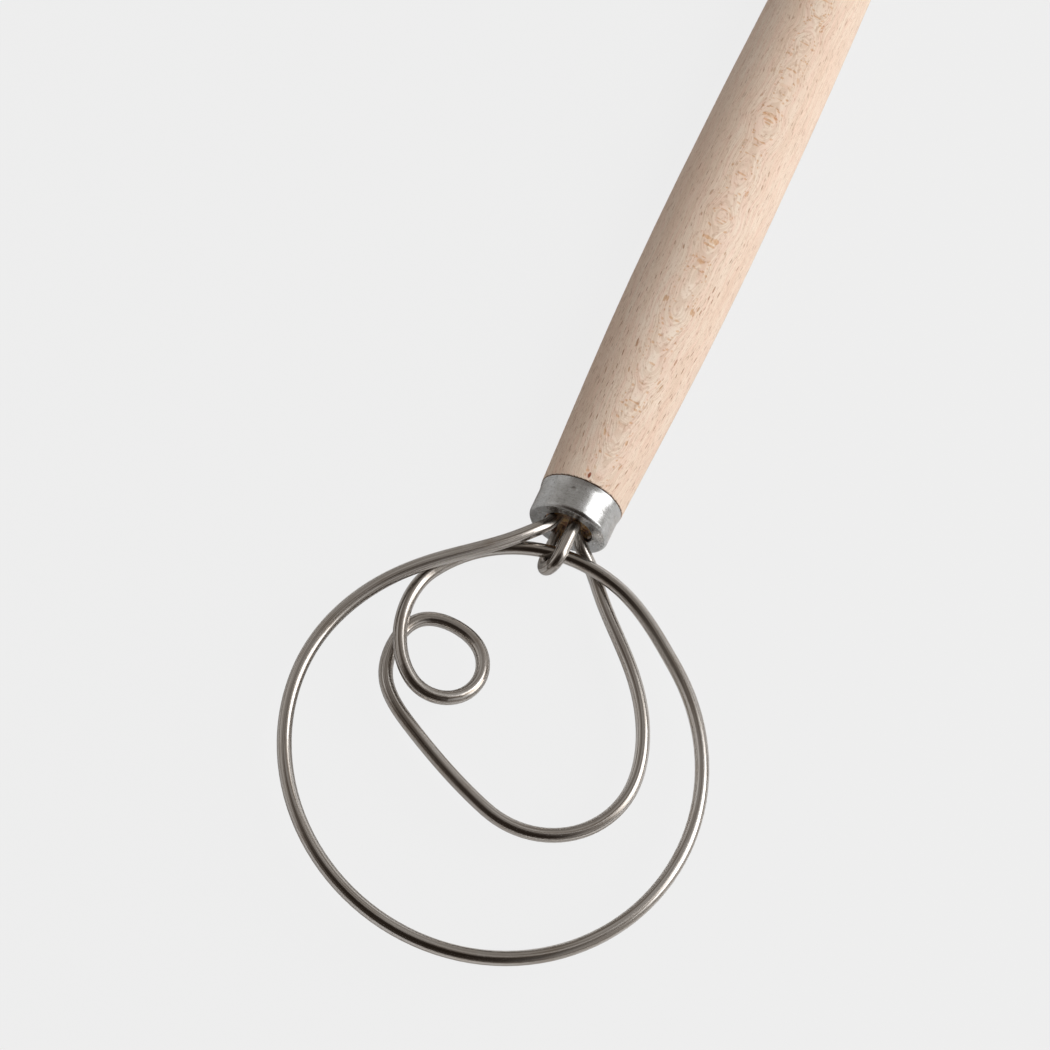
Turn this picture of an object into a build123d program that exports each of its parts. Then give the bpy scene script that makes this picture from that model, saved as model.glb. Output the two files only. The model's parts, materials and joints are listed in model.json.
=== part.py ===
from build123d import *

import os
from math import ceil, cos, radians, sin, sqrt, tan

# Danish dough whisk: a turned beech handle, a drawn steel ferrule on its front end, one
# continuous stainless wire bent into a ring, a small curl and an inner loop, and a wire
# hook that ties the ring's near end to the handle. All four wire ends stand in a socket
# filled with epoxy.
#
# Frame: the whisk lies flat. +X runs along the handle towards the ring, +Z is normal to
# the ring's plane, and the origin is the centre of the hanging hole. The mouth is the
# ferrule's front face, and wire places are given from the mouth's centre.

# Driving dimensions, millimetres and degrees.
MOUTH_X = 240.0  # from the hanging hole to the ferrule's front face
BUTT_LENGTH = 14.0  # from the hanging hole to the handle's rear end
HANGING_HOLE_RADIUS = 2.5
HOLE_ROUND = 0.6

# Handle radius at each distance behind the mouth, from the shoulder to the rounded end.
HANDLE_PROFILE = (
    (7.8, 9.35),
    (29.0, 10.35),
    (53.0, 11.3),
    (97.0, 11.9),
    (147.5, 11.45),
    (200.0, 10.2),
    (244.0, 8.8),
)
SHOULDER_ROUND = 0.3
BUTT_FLAT_RADIUS = 4.5
BUTT_ROUND = 1.5

FERRULE_LENGTH = 7.6
FERRULE_RADIUS = 9.0
FERRULE_REAR_RADIUS = 9.3
FLARE_LENGTH = 2.2  # the rear end widens over this length, from the wood pressed into it
FERRULE_WALL = 0.7
FERRULE_MOUTH_RADIUS = 5.6
FERRULE_CORNER = 1.1
CORNER_TURN = 60.0  # degrees the corner turns before it meets the dished face in a crest
CREST_ROUND = 0.15
MOUTH_ROUND = 0.25
FACE_DISH = 0.4  # how far the front face sinks from its crest to the mouth
PUNCH_RADIUS = 2.4
PUNCH_DEPTH = 0.2
PUNCH_BACK = 4.7  # the punched dimple's distance behind the mouth
PUNCH_TURN = 16.5  # degrees round the handle from the top, towards -Y

SOCKET_RADIUS = 5.4
SOCKET_DEPTH = 36.0
DRILL_POINT = 59.0  # half angle of the drill's point
EPOXY_RECESS = 0.35  # the middle of the epoxy's face stands this far behind the tenon's end
EPOXY_CREEP = 0.3  # and its edge rises this far up the socket's wall

WIRE_RADIUS = 1.5
LAYER = 3.15  # height step where the wire crosses itself: a wire and a fine gap
BEND_STEP = 6.0  # length of wire that a pair of bending arcs covers
LEG_LENGTH = 30.0  # wire held in the socket
LEG_BEND = 5.0  # the legs start to spread this far inside the mouth
RING_LEG = (-3.0, 1.5)  # side and height of each leg in the socket
LOOP_LEG = (2.8, -1.0)

# Round stretches of the whisk wire seen from above: centre from the mouth, radius, and the
# angles between which the wire follows the circle.
RING_CENTRE = (52.0, 6.25)
RING_RADIUS = 43.2
RING_START = -65.0
RING_END = 142.0
NEAR_END_CENTRE = (36.7, 5.9)
NEAR_END_RADIUS = 31.0
NEAR_END_START = 162.0
NEAR_END_END = 243.0
CURL_CENTRE = (38.8, -11.5)
CURL_RADIUS = 8.5
CURL_START = -38.0
CURL_END = 162.0
LOOP_CENTRE = (44.6, 15.3)
LOOP_RADIUS = 19.7
LOOP_START = -17.0
LOOP_END = 93.0

HOOK_BEND_RADIUS = 3.3
HOOK_BEND_AHEAD = 6.8  # the bend's centre in front of the mouth
HOOK_TWIST = 19.0  # degrees, the hairpin's turn out of the upright plane
HOOK_SIDE = -0.15  # the hairpin's middle line is this far to the side of the axis

PUNCH_HEIGHT = FERRULE_RADIUS - PUNCH_DEPTH + PUNCH_RADIUS
TENON_RADIUS = FERRULE_RADIUS - FERRULE_WALL
FERRULE_REAR_X = MOUTH_X - FERRULE_LENGTH
TENON_END_X = MOUTH_X - FACE_DISH - FERRULE_WALL
SHOULDER_X = MOUTH_X - HANDLE_PROFILE[0][0]
HANDLE_END_X = -BUTT_LENGTH
SOCKET_END_X = TENON_END_X - SOCKET_DEPTH
EPOXY_FACE_X = TENON_END_X - EPOXY_RECESS
MENISCUS_RADIUS = (SOCKET_RADIUS**2 + EPOXY_CREEP**2) / (2 * EPOXY_CREEP)


def from_mouth(ahead, side, height=0.0):
    """A point given as its distance in front of the mouth, its side and its height."""
    return (MOUTH_X + ahead, side, height)


def flat_helix(centre, radius, start, end, rise, step=20.0):
    """Points on a circle seen from above, from height 0 at its start to rise at its end."""
    count = round((end - start) / step)
    points = []
    for index in range(count + 1):
        angle = radians(start + (end - start) * index / count)
        ahead = centre[0] + radius * cos(angle)
        side = centre[1] + radius * sin(angle)
        points.append(from_mouth(ahead, side, rise * index / count))
    return points


def bend_along(before, places, after):
    """Joins two stretches of wire by short tangent arcs that follow a smooth curve through places."""
    guide = Spline(
        [before @ 1, *places, after @ 0],
        tangents=[before % 1, after % 0],
        tangent_scalars=[1, 1],
        mode=Mode.PRIVATE,
    )
    count = ceil(guide.length / BEND_STEP)
    for index in range(count):
        start, end = guide @ (index / count), guide @ ((index + 1) / count)
        heading, next_heading = guide % (index / count), guide % ((index + 1) / count)
        # Two arcs meet halfway between the tips of equal handles along both headings.
        chord = end - start
        along = chord.dot(heading + next_heading)
        turn = 2 * (1 - heading.dot(next_heading))
        handle_length = chord.dot(chord) / (along + sqrt(along**2 + turn * chord.dot(chord)))
        first_tip = start + heading * handle_length
        second_tip = end - next_heading * handle_length
        middle = (first_tip + second_tip) / 2
        TangentArc(start, middle, tangent=heading)
        TangentArc(middle, end, tangent=second_tip - first_tip)


# whisk_wire: one length of stainless wire, from the leg on the left side round to the leg on
# the right. It lies in three layers, so that each crossing has a wire's thickness of height.
with BuildPart() as whisk_wire:
    with BuildLine() as whisk_path:
        ring = CenterArc(from_mouth(*RING_CENTRE), RING_RADIUS, RING_START, RING_END - RING_START)
        near_end = CenterArc(
            from_mouth(*NEAR_END_CENTRE), NEAR_END_RADIUS, NEAR_END_START, NEAR_END_END - NEAR_END_START
        )
        loop = CenterArc(from_mouth(*LOOP_CENTRE, -LAYER), LOOP_RADIUS, LOOP_START, LOOP_END - LOOP_START)
        ring_leg = Line(from_mouth(-LEG_LENGTH, *RING_LEG), from_mouth(-LEG_BEND, *RING_LEG))
        loop_leg = Line(from_mouth(-LEG_BEND, *LOOP_LEG), from_mouth(-LEG_LENGTH, *LOOP_LEG))
        bend_along(
            ring_leg,
            [
                from_mouth(0.0, -3.5, 1.8),
                from_mouth(4.5, -6.0, 2.7),
                from_mouth(9.5, -10.0, LAYER),
                from_mouth(21.8, -22.5, LAYER),
                from_mouth(31.0, -30.0, 0.75 * LAYER),
                from_mouth(50.0, -36.7, 0.25 * LAYER),
            ],
            ring,
        )
        bend_along(ring, [], near_end)
        bend_along(
            near_end,
            flat_helix(CURL_CENTRE, CURL_RADIUS, CURL_START, CURL_END, -LAYER)
            + [
                from_mouth(32.5, -19.7, -LAYER),
                from_mouth(38.1, -22.0, -LAYER),
                from_mouth(47.5, -20.3, -LAYER),
                from_mouth(54.7, -11.0, -LAYER),
            ],
            loop,
        )
        bend_along(
            loop,
            [
                from_mouth(24.0, 27.0, -LAYER),
                from_mouth(9.0, 12.5, -LAYER),
                from_mouth(4.0, 7.7, -2.6),
                from_mouth(0.0, 3.5, -1.4),
            ],
            loop_leg,
        )
    with BuildSketch(Plane(origin=ring_leg @ 0, z_dir=ring_leg % 0)):
        Circle(WIRE_RADIUS)
    sweep(path=whisk_path.wires()[0])

# retaining_hook: a hairpin of the same wire, nearly upright, round the ring's near end.
HOOK_PLANE = Plane(
    origin=(MOUTH_X, HOOK_SIDE, 0),
    x_dir=(1, 0, 0),
    z_dir=(0, -cos(radians(HOOK_TWIST)), sin(radians(HOOK_TWIST))),
)
with BuildPart() as retaining_hook:
    with BuildLine(HOOK_PLANE) as hook_path:
        upper_leg = Line((-LEG_LENGTH, HOOK_BEND_RADIUS), (HOOK_BEND_AHEAD, HOOK_BEND_RADIUS))
        CenterArc((HOOK_BEND_AHEAD, 0), HOOK_BEND_RADIUS, 90, -180)
        Line((HOOK_BEND_AHEAD, -HOOK_BEND_RADIUS), (-LEG_LENGTH, -HOOK_BEND_RADIUS))
    with BuildSketch(Plane(origin=upper_leg @ 0, z_dir=upper_leg % 0)):
        Circle(WIRE_RADIUS)
    sweep(path=hook_path.wires()[0])

# ferrule: a drawn cup with a round mouth in its front face. A round-nosed punch has dented
# it at one place, which presses a bump into the wood and keeps the ferrule on.
PUNCH_CENTRE = from_mouth(
    -PUNCH_BACK, -PUNCH_HEIGHT * sin(radians(PUNCH_TURN)), PUNCH_HEIGHT * cos(radians(PUNCH_TURN))
)
with BuildPart() as punch_bump:
    with Locations(PUNCH_CENTRE):
        Sphere(PUNCH_RADIUS + FERRULE_WALL)
    with BuildSketch(Plane.YZ.offset(FERRULE_REAR_X)):
        Circle(TENON_RADIUS + FERRULE_WALL / 2)
    extrude(amount=FERRULE_LENGTH, mode=Mode.INTERSECT)

with BuildPart() as ferrule:
    with BuildSketch(Plane.XZ) as ferrule_profile:
        with BuildLine():
            waist = (FERRULE_REAR_X + FLARE_LENGTH, FERRULE_RADIUS)
            flare = TangentArc(waist, (FERRULE_REAR_X, FERRULE_REAR_RADIUS), tangent=(-1, 0))
            corner_start = (MOUTH_X - FERRULE_CORNER * sin(radians(CORNER_TURN)), FERRULE_RADIUS)
            Line(waist, corner_start)
            corner = JernArc(corner_start, (1, 0), FERRULE_CORNER, -CORNER_TURN)
            Polyline(
                corner @ 1,
                (MOUTH_X - FACE_DISH, FERRULE_MOUTH_RADIUS),
                (TENON_END_X, FERRULE_MOUTH_RADIUS),
                (TENON_END_X, TENON_RADIUS),
                (FERRULE_REAR_X, TENON_RADIUS),
                flare @ 1,
            )
        make_face()
        corners = ferrule_profile.vertices()
        fillet(corners.sort_by(Axis.X)[-1], CREST_ROUND)
        fillet(corners.group_by(Axis.Y)[0].sort_by(Axis.X)[-1], MOUTH_ROUND)
    revolve(axis=Axis.X)
    add(punch_bump.part)
    with Locations(PUNCH_CENTRE):
        Sphere(PUNCH_RADIUS, mode=Mode.SUBTRACT)

# socket_space: the drilled socket, with the drill's point at its bottom.
with BuildPart() as socket_space:
    with BuildSketch(Plane.XZ):
        with BuildLine():
            Polyline(
                (TENON_END_X, 0),
                (TENON_END_X, SOCKET_RADIUS),
                (SOCKET_END_X, SOCKET_RADIUS),
                (SOCKET_END_X - SOCKET_RADIUS / tan(radians(DRILL_POINT)), 0),
                close=True,
            )
        make_face()
    revolve(axis=Axis.X)

# handle: turned beech with a tenon under the ferrule, the socket and a hanging hole.
with BuildPart() as handle:
    with BuildSketch(Plane.XZ):
        with BuildLine():
            body = Spline([(MOUTH_X - behind, radius) for behind, radius in HANDLE_PROFILE])
            butt = Spline(
                body @ 1,
                (HANDLE_END_X, BUTT_FLAT_RADIUS),
                tangents=[body % 1, (-0.3, -1.0)],
            )
            Polyline(
                butt @ 1,
                (HANDLE_END_X, 0),
                (TENON_END_X, 0),
                (TENON_END_X, TENON_RADIUS),
                (SHOULDER_X, TENON_RADIUS),
                body @ 0,
            )
        make_face()
    revolve(axis=Axis.X)
    circles = handle.edges().filter_by(GeomType.CIRCLE).sort_by(SortBy.RADIUS)
    butt_edge, shoulder_edge = circles[0], circles[-1]
    fillet(shoulder_edge, SHOULDER_ROUND)
    fillet(butt_edge, BUTT_ROUND)
    surface_edges = handle.edges()
    Hole(HANGING_HOLE_RADIUS)
    hole_rims = (handle.edges() - surface_edges).filter_by(GeomType.LINE, reverse=True)
    fillet(hole_rims, HOLE_ROUND)
    add(socket_space.part, mode=Mode.SUBTRACT)
    add(ferrule.part, mode=Mode.SUBTRACT)

# epoxy_fill: glue round the four wire legs, with a sunken face in the mouth.
with BuildPart() as epoxy_fill:
    add(socket_space.part)
    with Locations((EPOXY_FACE_X + MENISCUS_RADIUS, 0, 0)):
        Sphere(MENISCUS_RADIUS, mode=Mode.SUBTRACT)
    add(whisk_wire.part, mode=Mode.SUBTRACT)
    add(retaining_hook.part, mode=Mode.SUBTRACT)

PIECES = {
    "handle": handle,
    "ferrule": ferrule,
    "whisk_wire": whisk_wire,
    "retaining_hook": retaining_hook,
    "epoxy_fill": epoxy_fill,
}
os.makedirs("parts", exist_ok=True)
for name, piece in PIECES.items():
    piece.part.label = name
    export_step(piece.part, f"parts/{name}.step")
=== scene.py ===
"""Looks of the dough whisk: beech handle, steel ferrule, satin stainless wire and glue.

Metres, in the part's own frame: +X runs along the handle towards the wire ring, +Z is
normal to the ring, and the origin is the centre of the hanging hole. Materials work in
millimetres, so that grain and scratches can be given at their real size.
"""

import json
import math

import bpy
import numpy as np
from mathutils import Matrix, Vector


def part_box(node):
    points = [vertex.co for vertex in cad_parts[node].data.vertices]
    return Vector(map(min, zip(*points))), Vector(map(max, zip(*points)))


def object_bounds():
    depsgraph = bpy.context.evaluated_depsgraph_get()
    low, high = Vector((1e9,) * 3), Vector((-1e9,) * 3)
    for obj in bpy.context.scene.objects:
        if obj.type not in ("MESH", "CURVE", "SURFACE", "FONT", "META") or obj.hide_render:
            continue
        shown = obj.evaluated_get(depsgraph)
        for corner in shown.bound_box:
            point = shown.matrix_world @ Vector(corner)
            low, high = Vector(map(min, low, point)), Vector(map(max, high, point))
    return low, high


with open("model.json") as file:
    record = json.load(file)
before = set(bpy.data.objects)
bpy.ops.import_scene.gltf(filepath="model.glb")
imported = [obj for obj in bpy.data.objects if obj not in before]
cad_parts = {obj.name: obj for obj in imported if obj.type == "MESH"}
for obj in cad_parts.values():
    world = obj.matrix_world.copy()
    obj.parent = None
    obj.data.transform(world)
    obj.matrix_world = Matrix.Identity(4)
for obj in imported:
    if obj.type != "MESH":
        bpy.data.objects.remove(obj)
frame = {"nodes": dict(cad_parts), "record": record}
cad_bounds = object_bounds()

MM = 0.001

# Places taken from the frame, in metres, and the hanging hole's radius in millimetres.
FERRULE_LOW, FERRULE_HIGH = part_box("ferrule")
MOUTH = Vector((FERRULE_HIGH.x, 0, 0))
FLOOR_HEIGHT = cad_bounds[0][2]
HOLE_RADIUS = frame["record"]["mounts"][0]["dims"]["r_mm"]

# Camera, placed from the ferrule's mouth.
CAMERA_FROM_MOUTH = Vector((238.0, -8.5, 470.6)) * MM
CAMERA_TILT = 26.5  # degrees off straight down, towards the handle
CAMERA_ROLL = 26.0
LENS = 85.0


def srgb(red, green, blue):
    """A colour as a screen shows it, 0 to 255, in scene-linear values."""
    linear = []
    for value in (red, green, blue):
        value /= 255
        linear.append(value / 12.92 if value <= 0.04045 else ((value + 0.055) / 1.055) ** 2.4)
    return (*linear, 1.0)


def towards(azimuth, elevation):
    """Unit vector for a direction: azimuth 0 is +X and 90 is +Y, elevation 90 is +Z."""
    turn, rise = math.radians(azimuth), math.radians(elevation)
    return Vector((math.cos(turn) * math.cos(rise), math.sin(turn) * math.cos(rise), math.sin(rise)))


# ---------------------------------------------------------------- node helpers


class Nodes:
    """Adds and links the nodes of one material or world."""

    def __init__(self, owner):
        owner.use_nodes = True
        self.tree = owner.node_tree
        self.tree.nodes.clear()

    def add(self, kind, inputs=None, **settings):
        node = self.tree.nodes.new(kind)
        for name, value in settings.items():
            setattr(node, name, value)
        for key, value in (inputs or {}).items():
            if isinstance(value, bpy.types.NodeSocket):
                self.tree.links.new(value, node.inputs[key])
            else:
                node.inputs[key].default_value = value
        return node

    def math(self, operation, *values):
        return self.add("ShaderNodeMath", dict(enumerate(values)), operation=operation).outputs[0]

    def sum(self, *values):
        total = values[0]
        for value in values[1:]:
            total = self.math("ADD", total, value)
        return total

    def product(self, *values):
        total = values[0]
        for value in values[1:]:
            total = self.math("MULTIPLY", total, value)
        return total

    def length(self, first, second):
        """Distance from 0 of a point with these two coordinates."""
        squares = self.sum(self.product(first, first), self.product(second, second))
        return self.math("SQRT", squares)

    def ramp(self, value, start, end, low=0.0, high=1.0):
        """Goes smoothly from low at start to high at end."""
        inputs = {"Value": value, "From Min": start, "From Max": end, "To Min": low, "To Max": high}
        return self.add("ShaderNodeMapRange", inputs, interpolation_type="SMOOTHSTEP").outputs[0]

    def vector(self, x, y, z):
        return self.add("ShaderNodeCombineXYZ", {0: x, 1: y, 2: z}).outputs[0]

    def split(self, vector):
        return tuple(self.add("ShaderNodeSeparateXYZ", {0: vector}).outputs)

    def stretched(self, place, sizes, shift=0.0):
        """place, a triple of sockets, counted in steps of the three sizes."""
        scaled = [self.math("MULTIPLY_ADD", axis, 1 / size, shift) for axis, size in zip(place, sizes)]
        return self.vector(*scaled)

    def noise(self, place, sizes, detail=2.0, shift=0.0):
        inputs = {"Vector": self.stretched(place, sizes, shift), "Scale": 1.0, "Detail": detail}
        return self.add("ShaderNodeTexNoise", inputs).outputs[0]

    def cells(self, place, sizes, shift=0.0):
        """Distance to the nearest of many scattered points, and a random number for that point."""
        inputs = {"Vector": self.stretched(place, sizes, shift), "Scale": 1.0}
        texture = self.add("ShaderNodeTexVoronoi", inputs)
        chance = self.add("ShaderNodeSeparateColor", {0: texture.outputs["Color"]}).outputs[0]
        return texture.outputs["Distance"], chance

    def mix(self, factor, first, second):
        node = self.add("ShaderNodeMix", {0: factor, 6: first, 7: second}, data_type="RGBA")
        return node.outputs[2]

    def tint(self, factor, base, colour):
        """Multiplies base by colour where factor is 1."""
        inputs = {0: factor, 6: base, 7: colour}
        node = self.add("ShaderNodeMix", inputs, data_type="RGBA", blend_type="MULTIPLY")
        return node.outputs[2]

    def bump(self, height, distance, strength=1.0):
        """Normal for a height of 0 to 1, with distance in millimetres for a height of 1."""
        inputs = {"Height": height, "Distance": distance * MM, "Strength": strength}
        return self.add("ShaderNodeBump", inputs).outputs[0]

    def place(self):
        """Position in the part's frame, in millimetres, as x, y and z sockets."""
        position = self.add("ShaderNodeTexCoord").outputs["Object"]
        scaled = self.add("ShaderNodeVectorMath", {0: position, 1: (1 / MM,) * 3}, operation="MULTIPLY")
        return self.split(scaled.outputs[0])

    def attribute(self, name):
        """A vector attribute of the mesh, as three sockets."""
        return self.split(self.add("ShaderNodeAttribute", attribute_name=name).outputs["Vector"])

    def surface(self, inputs):
        shader = self.add("ShaderNodeBsdfPrincipled", inputs)
        self.add("ShaderNodeOutputMaterial", {"Surface": shader.outputs[0]})


# ---------------------------------------------------------------- materials

# Beech colours, and the tints that darken them.
BEECH_LIGHT = srgb(239, 222, 205)
BEECH_DEEP = srgb(231, 208, 188)
BEECH_PINK = srgb(235, 208, 190)
FLECK_SIDE = (0.62, 0.48, 0.39, 1)
FLECK_FACE = (0.88, 0.71, 0.54, 1)
RUNG_TINT = (0.86, 0.69, 0.53, 1)
LAYER_TINT = (0.80, 0.71, 0.63, 1)
FIBRE_TINT = (0.74, 0.62, 0.53, 1)
END_TINT = (0.66, 0.54, 0.44, 1)
SEAM_TINT = (0.16, 0.10, 0.07, 1)
SAP_TINT = (0.34, 0.13, 0.08, 1)

# Beech sizes, in millimetres.
GRAIN_TILT = math.radians(4.5)  # the rays lean this far from level
LAYER_WAVE = 0.8  # how far the growth layers rise and fall
GRAIN_START, GRAIN_END = 120.0, 220.0  # along the handle, where its grain starts and ends rising
SEAM_WIDTH = 0.12
SEAM_FRAY = 0.35
SAP_BEHIND = 1.6  # the sap spot's distance behind the seam, its side and its half sizes
SAP_SIDE = -0.9
SAP_HALF_LENGTH = 0.8
SAP_HALF_WIDTH = 0.34


def beech():
    """Turned beech. Rays are thin plates that face up: spindle flecks at the sides, flakes on top."""
    material = bpy.data.materials.new("beech")
    nodes = Nodes(material)
    x, y, z = nodes.place()
    cosine, sine = math.cos(GRAIN_TILT), math.sin(GRAIN_TILT)
    radial = nodes.sum(nodes.product(y, cosine), nodes.product(z, -sine))
    upward = nodes.sum(nodes.product(y, sine), nodes.product(z, cosine))
    # The layers are wavy along the handle, so the turned surface cuts them in ovals.
    drift = nodes.noise((x, radial, upward), (7.0, 14.0, 30.0), detail=0.0)
    upward = nodes.math("MULTIPLY_ADD", drift, LAYER_WAVE, upward)
    wood = (x, radial, upward)
    wander = nodes.noise(wood, (2.2, 1.1, 0.8), detail=2.0, shift=9.1)
    ragged = (nodes.sum(x, wander), radial, upward)

    broad = nodes.noise(wood, (45.0, 3.0, 3.0), detail=3.0, shift=3.1)
    streaks = nodes.noise(wood, (7.0, 2.4, 0.35), detail=3.0, shift=7.7)
    layers = nodes.noise(wood, (12.0, 6.0, 0.045), detail=1.0, shift=1.3)
    fibres = nodes.noise(wood, (1.5, 0.9, 0.10), detail=2.0, shift=5.5)
    pores = nodes.noise((x, y, z), (0.45, 0.12, 0.12), detail=2.0, shift=2.5)

    def flecks(sizes, reach, soft, shift, place=ragged):
        """Long thin lens shapes, one to each box of the given sizes."""
        distance, chance = nodes.cells(place, sizes, shift)
        size = nodes.math("MULTIPLY_ADD", chance, 0.7, 0.55)
        near = nodes.math("DIVIDE", distance, size)
        return nodes.ramp(near, reach, reach - soft)

    large = flecks((4.2, 40.0, 0.42), 0.23, 0.08, 0.0)
    small = flecks((3.0, 30.0, 0.26), 0.24, 0.13, 11.3)
    side = nodes.math("ABSOLUTE", radial)
    # Washing has raised the grain towards the ferrule.
    raised = nodes.ramp(x, GRAIN_START, GRAIN_END, 0.65, 1.4)
    end_on = nodes.ramp(side, 1.5, 6.0)
    rungs = flecks((1.05, 30.0, 0.17), 0.34, 0.14, 23.9, place=wood)
    rungs = nodes.product(rungs, nodes.ramp(side, 4.0, 2.2))

    colour = nodes.mix(nodes.ramp(broad, 0.32, 0.68), BEECH_DEEP, BEECH_LIGHT)
    colour = nodes.mix(nodes.ramp(streaks, 0.42, 0.66, 0.0, 0.8), colour, BEECH_PINK)
    colour = nodes.tint(nodes.ramp(layers, 0.46, 0.60, 0.0, 0.5), colour, LAYER_TINT)
    colour = nodes.tint(nodes.ramp(fibres, 0.54, 0.72, 0.0, 0.8), colour, FIBRE_TINT)
    colour = nodes.tint(nodes.ramp(pores, 0.58, 0.72, 0.0, 0.35), colour, FIBRE_TINT)
    colour = nodes.tint(nodes.product(rungs, 0.9), colour, RUNG_TINT)
    fleck_tint = nodes.mix(end_on, FLECK_FACE, FLECK_SIDE)
    colour = nodes.tint(nodes.product(small, raised, 0.5), colour, fleck_tint)
    colour = nodes.tint(nodes.product(large, raised), colour, fleck_tint)

    # Darker where the wood is cut across, round the hanging hole, and where it meets the ferrule.
    normal = nodes.add("ShaderNodeNewGeometry").outputs["Normal"]
    facing_along = nodes.math("ABSOLUTE", nodes.split(normal)[0])
    colour = nodes.tint(nodes.ramp(facing_along, 0.55, 0.95, 0.0, 0.8), colour, END_TINT)
    from_hole = nodes.length(x, y)
    near_hole = nodes.ramp(from_hole, HOLE_RADIUS + 1.0, HOLE_RADIUS - 0.1, 0.0, 0.6)
    colour = nodes.tint(near_hole, colour, END_TINT)
    to_seam = nodes.math("SUBTRACT", FERRULE_LOW.x / MM, x)
    worn_edge = nodes.math("MULTIPLY_ADD", nodes.ramp(fibres, 0.3, 0.7), SEAM_FRAY, SEAM_WIDTH)
    past_edge = nodes.math("SUBTRACT", to_seam, worn_edge)
    colour = nodes.tint(nodes.ramp(past_edge, 0.12, -0.05), colour, SEAM_TINT)
    # One small knot-like spot of dark sap just behind the ferrule, on the upper side only.
    spot_along = nodes.math("DIVIDE", nodes.sum(to_seam, -SAP_BEHIND), SAP_HALF_LENGTH)
    spot_across = nodes.math("DIVIDE", nodes.sum(y, -SAP_SIDE), SAP_HALF_WIDTH)
    spot = nodes.ramp(nodes.length(spot_along, spot_across), 1.1, 0.7)
    above = nodes.math("GREATER_THAN", z, 0.0)
    colour = nodes.tint(nodes.product(spot, above), colour, SAP_TINT)

    height = nodes.sum(
        nodes.product(large, -0.7),
        nodes.product(small, -0.4),
        nodes.product(rungs, -0.3),
        nodes.product(fibres, raised, 1.3),
        nodes.product(layers, 0.5),
        nodes.product(pores, raised, 0.9),
    )
    roughness = nodes.sum(0.50, nodes.product(streaks, 0.14), nodes.product(large, -0.12))
    nodes.surface(
        {
            "Base Color": colour,
            "Roughness": roughness,
            "Specular IOR Level": 0.35,
            "Normal": nodes.bump(height, 0.05),
        }
    )
    return material


STEEL_DARK = (0.50, 0.505, 0.50, 1)
STEEL_LIGHT = (0.58, 0.585, 0.59, 1)
STREAK_TINT = (0.80, 0.79, 0.77, 1)
PEEL_TINT = (0.70, 0.69, 0.67, 1)
PIT_TINT = (0.35, 0.32, 0.28, 1)
FERRULE_RADIUS = 9.0  # millimetres, turns an angle round the ferrule into a length


def ferrule_steel():
    """Drawn steel: mottled, finely pitted, with faint lines round it."""
    material = bpy.data.materials.new("ferrule_steel")
    nodes = Nodes(material)
    place = nodes.place()
    x, y, z = place
    angle = nodes.math("ARCTAN2", z, y)
    turned = (x, nodes.product(angle, FERRULE_RADIUS), z)
    mottle = nodes.noise(place, (2.4, 2.4, 2.4), detail=3.0)
    peel = nodes.noise(place, (0.5, 0.5, 0.5), detail=3.0, shift=4.0)
    streaks = nodes.noise(turned, (0.22, 2.4, 60.0), detail=3.0, shift=8.0)
    distance, chance = nodes.cells(place, (1.1, 1.1, 1.1))
    pit = nodes.product(nodes.ramp(distance, 0.11, 0.05), nodes.ramp(chance, 0.5, 0.55))
    colour = nodes.mix(nodes.ramp(mottle, 0.3, 0.7), STEEL_DARK, STEEL_LIGHT)
    colour = nodes.tint(nodes.ramp(streaks, 0.5, 0.75, 0.0, 0.5), colour, STREAK_TINT)
    colour = nodes.tint(nodes.ramp(peel, 0.52, 0.68, 0.0, 0.7), colour, PEEL_TINT)
    colour = nodes.tint(pit, colour, PIT_TINT)
    roughness = nodes.sum(0.14, nodes.product(mottle, 0.12), nodes.product(streaks, 0.14))
    height = nodes.sum(
        nodes.product(mottle, 0.9),
        nodes.product(streaks, 0.36),
        nodes.product(peel, 0.40),
        nodes.product(pit, -0.3),
    )
    nodes.surface(
        {
            "Base Color": colour,
            "Metallic": 1.0,
            "Roughness": roughness,
            "Normal": nodes.bump(height, 0.035),
        }
    )
    return material


WIRE_DARK = (0.38, 0.35, 0.32, 1)
WIRE_LIGHT = (0.64, 0.615, 0.59, 1)
SCRATCH_TINT = (0.56, 0.51, 0.46, 1)
STAIN_TINT = (0.82, 0.76, 0.70, 1)
NICK_TINT = (0.3, 0.27, 0.24, 1)


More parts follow.
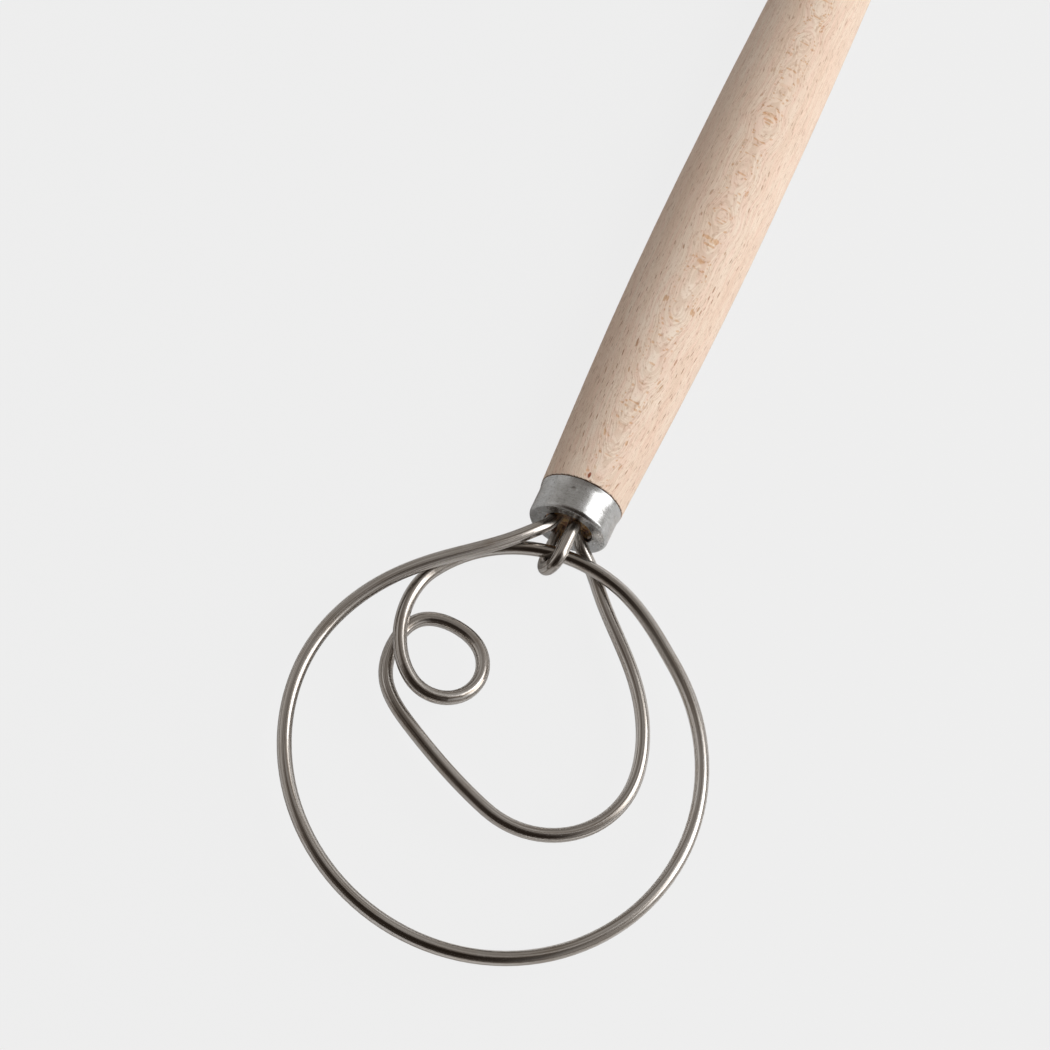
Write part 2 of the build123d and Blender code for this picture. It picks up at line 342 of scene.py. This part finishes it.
def wire_steel():
    """Satin stainless wire with draw lines along it."""
    material = bpy.data.materials.new("stainless_wire")
    nodes = Nodes(material)
    along = nodes.attribute("along_wire")
    place = nodes.place()
    lines = nodes.noise(along, (70.0, 0.34, 0.34), detail=2.0)
    scratches = nodes.noise(along, (18.0, 0.16, 0.16), detail=2.0, shift=6.0)
    stain = nodes.noise(place, (5.0, 5.0, 5.0), detail=4.0)
    grain = nodes.noise(along, (0.7, 0.16, 0.16), detail=2.0, shift=2.0)
    distance, chance = nodes.cells(along, (2.6, 0.7, 0.7), 4.0)
    nick = nodes.product(nodes.ramp(distance, 0.10, 0.05), nodes.ramp(chance, 0.72, 0.76))
    colour = nodes.mix(nodes.ramp(lines, 0.35, 0.65), WIRE_DARK, WIRE_LIGHT)
    colour = nodes.tint(nodes.ramp(scratches, 0.48, 0.62, 0.0, 0.8), colour, SCRATCH_TINT)
    colour = nodes.tint(nodes.ramp(stain, 0.5, 0.75, 0.0, 0.5), colour, STAIN_TINT)
    colour = nodes.tint(nick, colour, NICK_TINT)
    roughness = nodes.sum(0.13, nodes.product(lines, 0.10), nodes.product(grain, 0.08))
    height = nodes.sum(
        nodes.product(lines, 1.0),
        nodes.product(scratches, 0.35),
        nodes.product(grain, 0.02),
        nodes.product(nick, -0.5),
    )
    nodes.surface(
        {
            "Base Color": colour,
            "Metallic": 1.0,
            "Roughness": roughness,
            "Normal": nodes.bump(height, 0.022),
        }
    )
    return material


GLUE_DARK = srgb(138, 84, 48)
GLUE_LIGHT = srgb(240, 200, 132)
SPECK_TINT = (0.55, 0.42, 0.28, 1)


def glue():
    """Brown epoxy with trapped grain and dust under a glossy skin."""
    material = bpy.data.materials.new("epoxy")
    nodes = Nodes(material)
    place = nodes.place()
    cloud = nodes.noise(place, (1.3, 1.3, 1.3), detail=4.0)
    speck = nodes.noise(place, (0.3, 0.3, 0.3), detail=2.0)
    colour = nodes.mix(nodes.ramp(cloud, 0.35, 0.65), GLUE_DARK, GLUE_LIGHT)
    colour = nodes.tint(nodes.ramp(speck, 0.5, 0.7), colour, SPECK_TINT)
    nodes.surface(
        {
            "Base Color": colour,
            "Roughness": 0.4,
            "Coat Weight": 1.0,
            "Coat Roughness": 0.12,
            "Normal": nodes.bump(cloud, 0.9),
        }
    )
    return material


# ---------------------------------------------------------------- wire coordinates

WIRES = ("whisk_wire", "retaining_hook")
WIRE_RADIUS = 1.5 * MM
SAME_RING = 0.08 * MM  # middles closer than this belong to one ring of vertices round the wire
SHORTEST_STEP = 0.15 * MM
LONGEST_STEP = 40 * MM
WIDEST_TURN = 0.9  # cosine of the sharpest bend between two rings of the mesh
END_FACING = 0.99  # a normal this far along X is on an end face, not on the wire's side


def read_vectors(items, name):
    values = np.empty(len(items) * 3)
    items.foreach_get(name, values)
    return values.reshape(-1, 3)


def wire_middles(mesh):
    """Each vertex's place, the wire's middle line under it, and whether it is not on an end."""
    places = read_vectors(mesh.vertices, "co")
    corner_vertices = np.empty(len(mesh.loops), int)
    mesh.loops.foreach_get("vertex_index", corner_vertices)
    normals = np.zeros_like(places)
    np.add.at(normals, corner_vertices, read_vectors(mesh.corner_normals, "vector"))
    normals /= np.linalg.norm(normals, axis=1)[:, None]
    on_side = np.abs(normals[:, 0]) < END_FACING
    on_side |= places[:, 0] > places[:, 0].min() + WIRE_RADIUS
    return places, places - normals * WIRE_RADIUS, on_side


def follow(middles):
    """Middle points in order, from the leg at the rear left to the other end."""
    at_end = middles[middles[:, 0] < middles[:, 0].min() + SAME_RING]
    here = at_end[np.argmin(at_end[:, 1] - at_end[:, 2])]
    heading = np.array((1.0, 0.0, 0.0))
    line = [here]
    while True:
        step = middles - here
        distance = np.linalg.norm(step, axis=1) + 1e-12
        ahead = (distance > SHORTEST_STEP) & (distance < LONGEST_STEP)
        ahead &= step @ heading > WIDEST_TURN * distance
        if not ahead.any():
            return np.array(line)
        nearest = middles[ahead][np.argmin(distance[ahead])]
        ring = np.linalg.norm(middles - nearest, axis=1) < SAME_RING
        here = middles[ring].mean(axis=0)
        heading = here - line[-1]
        heading /= np.linalg.norm(heading)
        line.append(here)


def mark_along_wire(name):
    """Gives a wire's mesh its own coordinates: length along it and place across it, in mm."""
    mesh = frame["nodes"][name].data
    places, middles, on_side = wire_middles(mesh)
    line = follow(middles[on_side])
    lengths = np.concatenate(([0.0], np.cumsum(np.linalg.norm(np.diff(line, axis=0), axis=1))))
    tangents = np.gradient(line, lengths, axis=0)
    tangents /= np.linalg.norm(tangents, axis=1)[:, None]
    across = np.empty_like(line)
    direction = np.array((0.0, 0.0, 1.0))
    for index, tangent in enumerate(tangents):
        direction = direction - tangent * (direction @ tangent)
        direction /= np.linalg.norm(direction)
        across[index] = direction
    nearest = np.array([np.argmin(((line - middle) ** 2).sum(axis=1)) for middle in middles])
    offset = places - line[nearest]
    ahead = (offset * tangents[nearest]).sum(axis=1)
    other = np.cross(tangents, across)
    values = np.stack(
        (
            lengths[nearest] + ahead,
            (offset * across[nearest]).sum(axis=1),
            (offset * other[nearest]).sum(axis=1),
        ),
        axis=1,
    )
    attribute = mesh.attributes.new("along_wire", "FLOAT_VECTOR", "POINT")
    attribute.data.foreach_set("vector", (values / MM).astype(np.float32).ravel())


for wire in WIRES:
    mark_along_wire(wire)

LOOKS = {"beech": beech, "ferrule_steel": ferrule_steel, "stainless_wire": wire_steel, "epoxy": glue}
looks = {slot: make() for slot, make in LOOKS.items()}
for part in frame["record"]["subparts"]:
    for material_slot in frame["nodes"][part["node"]].material_slots:
        material_slot.material = looks[part["material_slot"]]


# ---------------------------------------------------------------- stage

PALE = srgb(238, 238, 238)
FLOOR_HALF = 40.0  # metres from the origin to each edge
FLOOR_SHADING = 0.03  # share of real shading in what the camera sees of the floor
# Painted pool of light: the floor's colour pales from DIM_SIDE to BRIGHT_SIDE, towards the key lamp.
DIM_SIDE, BRIGHT_SIDE = -40.0, 70.0  # millimetres along Y, where the floor starts and ends brightening
SOFTBOX_FADE = 0.7  # part of a softbox that fades towards its edges

# Colours of the room, which the metal mirrors.
DIM_ROOM = (0.17, 0.145, 0.125, 1)
REAR_WALL = (0.41, 0.39, 0.37, 1)
LEFT_GLOW = (0.66, 0.64, 0.62, 1)
RIGHT_GLOW = (0.50, 0.485, 0.47, 1)
DARK_GAP = (0.035, 0.026, 0.02, 1)
HORIZON = (0.52, 0.50, 0.48, 1)
REAR_GLOW = (0.95, 0.95, 0.95, 1)


def add_floor():
    """A pale table. The camera sees it evenly pale; the object sees a painted pool of light on it, its
    colour paler towards +Y.
    """
    mesh = bpy.data.meshes.new("floor")
    corners = [(-1, -1), (1, -1), (1, 1), (-1, 1)]
    places = [(x * FLOOR_HALF, y * FLOOR_HALF, FLOOR_HEIGHT) for x, y in corners]
    mesh.from_pydata(places, [], [(0, 1, 2, 3)])
    floor = bpy.data.objects.new("floor", mesh)
    bpy.context.scene.collection.objects.link(floor)
    material = bpy.data.materials.new("floor")
    nodes = Nodes(material)
    _, y, _ = nodes.place()
    # Painted light: the colour the object sees grows paler towards +Y, a pool of the key's light painted
    # onto the table.
    painted_light_pool = nodes.ramp(y, DIM_SIDE, BRIGHT_SIDE, 0.70, 0.93)
    lit = nodes.add("ShaderNodeBsdfDiffuse", {"Color": nodes.vector(*(painted_light_pool,) * 3)})
    even = nodes.add("ShaderNodeEmission", {"Color": PALE, "Strength": 1 - FLOOR_SHADING})
    faint = nodes.add("ShaderNodeBsdfDiffuse", {"Color": (*(FLOOR_SHADING,) * 3, 1)})
    seen = nodes.add("ShaderNodeAddShader", {0: even.outputs[0], 1: faint.outputs[0]})
    path = nodes.add("ShaderNodeLightPath")
    both = nodes.add(
        "ShaderNodeMixShader", {0: path.outputs["Is Camera Ray"], 1: lit.outputs[0], 2: seen.outputs[0]}
    )
    nodes.add("ShaderNodeOutputMaterial", {"Surface": both.outputs[0]})
    mesh.materials.append(material)


def add_softbox(name, direction, distance, width, height, radiance, roll=0.0, mirrored=True):
    """A soft rectangular light that looks at the mouth from a direction, out of the camera's sight.

    Without mirrored it lights wood and glue, but the metal doesn't show it.
    """
    data = bpy.data.lights.new(name, "AREA")
    data.shape = "RECTANGLE"
    data.size = width
    data.size_y = height
    data.energy = radiance * math.pi * width * height
    nodes = Nodes(data)
    across, along, _ = nodes.split(nodes.add("ShaderNodeNewGeometry").outputs["Parametric"])
    inside = [nodes.math("PINGPONG", place, 0.5) for place in (across, along)]
    glow = nodes.product(*[nodes.ramp(place, 0.0, 0.5 * SOFTBOX_FADE) for place in inside])
    emission = nodes.add("ShaderNodeEmission", {"Strength": glow})
    nodes.add("ShaderNodeOutputLight", {"Surface": emission.outputs[0]})
    light = bpy.data.objects.new(name, data)
    light.location = MOUTH + direction * distance
    light.rotation_mode = "QUATERNION"
    turn = Matrix.Rotation(math.radians(roll), 3, "Z").to_quaternion()
    light.rotation_quaternion = direction.to_track_quat("Z", "Y") @ turn
    light.visible_camera = False
    light.visible_glossy = mirrored
    bpy.context.scene.collection.objects.link(light)


def add_world():
    """A dim room: nearly black in front, grey at the rear, glows at the sides, pale to the camera only."""
    world = bpy.data.worlds.new("studio")
    nodes = Nodes(world)
    direction = nodes.add("ShaderNodeTexCoord").outputs["Generated"]

    def lobe(centre, inner, outer):
        """1 within inner degrees of a direction, falling to 0 at outer degrees."""
        dot = nodes.add("ShaderNodeVectorMath", {0: direction, 1: centre}, operation="DOT_PRODUCT")
        edges = [math.cos(math.radians(angle)) for angle in (outer, inner)]
        return nodes.ramp(dot.outputs["Value"], *edges)

    height = nodes.split(direction)[2]
    colour = nodes.mix(lobe(towards(-170, 30), 15, 75), DIM_ROOM, REAR_WALL)
    colour = nodes.mix(lobe(towards(-85, 8), 15, 45), colour, LEFT_GLOW)
    colour = nodes.mix(lobe(towards(80, 28), 12, 38), colour, RIGHT_GLOW)
    colour = nodes.mix(lobe(towards(5, 48), 28, 50), colour, DARK_GAP)
    colour = nodes.mix(nodes.ramp(height, 0.22, 0.02, 0.0, 0.8), colour, HORIZON)
    colour = nodes.mix(lobe(towards(160, 6), 8, 30), colour, REAR_GLOW)
    pale = nodes.add("ShaderNodeBackground", {"Color": PALE, "Strength": 1.0})
    room = nodes.add("ShaderNodeBackground", {"Color": colour, "Strength": 1.0})
    path = nodes.add("ShaderNodeLightPath")
    both = nodes.add(
        "ShaderNodeMixShader", {0: path.outputs["Is Camera Ray"], 1: room.outputs[0], 2: pale.outputs[0]}
    )
    nodes.add("ShaderNodeOutputWorld", {"Surface": both.outputs[0]})
    bpy.context.scene.world = world


def add_camera():
    """A camera tilted back towards the handle and rolled about its own line of sight."""
    data = bpy.data.cameras.new("camera")
    data.lens = LENS
    data.clip_start = 0.01
    camera = bpy.data.objects.new("camera", data)
    tilt, roll = math.radians(CAMERA_TILT), math.radians(CAMERA_ROLL)
    back = Vector((math.sin(tilt), 0, math.cos(tilt)))
    level = Vector((0, 1, 0))
    right = level * math.cos(roll) + back.cross(level) * math.sin(roll)
    turn = Matrix((right, back.cross(right), back)).transposed().to_4x4()
    camera.matrix_world = Matrix.Translation(MOUTH + CAMERA_FROM_MOUTH) @ turn
    bpy.context.scene.collection.objects.link(camera)
    bpy.context.scene.camera = camera


add_floor()
add_world()
add_softbox("key", towards(115, 38), distance=1.2, width=0.8, height=1.6, radiance=4.6, roll=-36)
add_softbox("fill", towards(90, 64), distance=1.5, width=1.0, height=1.0, radiance=5.8, mirrored=False)
add_camera()
bpy.context.scene.view_settings.view_transform = "Standard"
